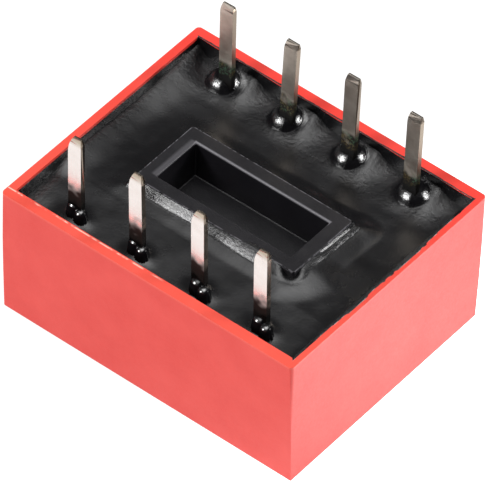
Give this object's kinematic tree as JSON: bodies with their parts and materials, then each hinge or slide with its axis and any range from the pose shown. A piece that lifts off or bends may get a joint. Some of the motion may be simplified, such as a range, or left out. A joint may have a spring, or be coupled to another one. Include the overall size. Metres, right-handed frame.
{
  "type": "dip switch",
  "caption": "Slide switch block in a dual in-line through-hole package: moulded housing with recessed sliders, and a resin-sealed underside with two rows of flat leads.",
  "frame": {"origin": "centre of the slider face, which the part lies on", "axes": "+X along the two rows of leads, +Y along the sliders' travel from off to on, +Z out of the sealed underside along the leads"},
  "size_m": [0.012, 0.01, 0.0086],
  "materials": {
    "housing_red": "satin moulded red plastic",
    "base_black": "fine-grained black plastic",
    "resin_black": "glossy cast black epoxy resin",
    "slider_white": "smooth white plastic",
    "contact_gold": "gold-flashed spring bronze",
    "terminal_tin": "dull tin plate on copper alloy"
  },
  "bodies": {
    "case": {"housing": "housing_red", "base": "base_black", "seal": "resin_black", "terminal_1": "terminal_tin", "terminal_2": "terminal_tin", "terminal_3": "terminal_tin", "terminal_4": "terminal_tin", "terminal_5": "terminal_tin", "terminal_6": "terminal_tin", "terminal_7": "terminal_tin", "terminal_8": "terminal_tin"},
    "switch_1": {"slider_1": "slider_white", "moving_contact_1": "contact_gold"},
    "switch_2": {"slider_2": "slider_white", "moving_contact_2": "contact_gold"},
    "switch_3": {"slider_3": "slider_white", "moving_contact_3": "contact_gold"},
    "switch_4": {"slider_4": "slider_white", "moving_contact_4": "contact_gold"}
  },
  "joints": [
    {"name": "slide_1", "type": "slide", "parent": "case", "child": "switch_1", "axis": [0, 1, 0], "range_m": [0, 0.0016]},
    {"name": "slide_2", "type": "slide", "parent": "case", "child": "switch_2", "axis": [0, 1, 0], "range_m": [0, 0.0016]},
    {"name": "slide_3", "type": "slide", "parent": "case", "child": "switch_3", "axis": [0, 1, 0], "range_m": [0, 0.0016]},
    {"name": "slide_4", "type": "slide", "parent": "case", "child": "switch_4", "axis": [0, 1, 0], "range_m": [0, 0.0016]}
  ]
}
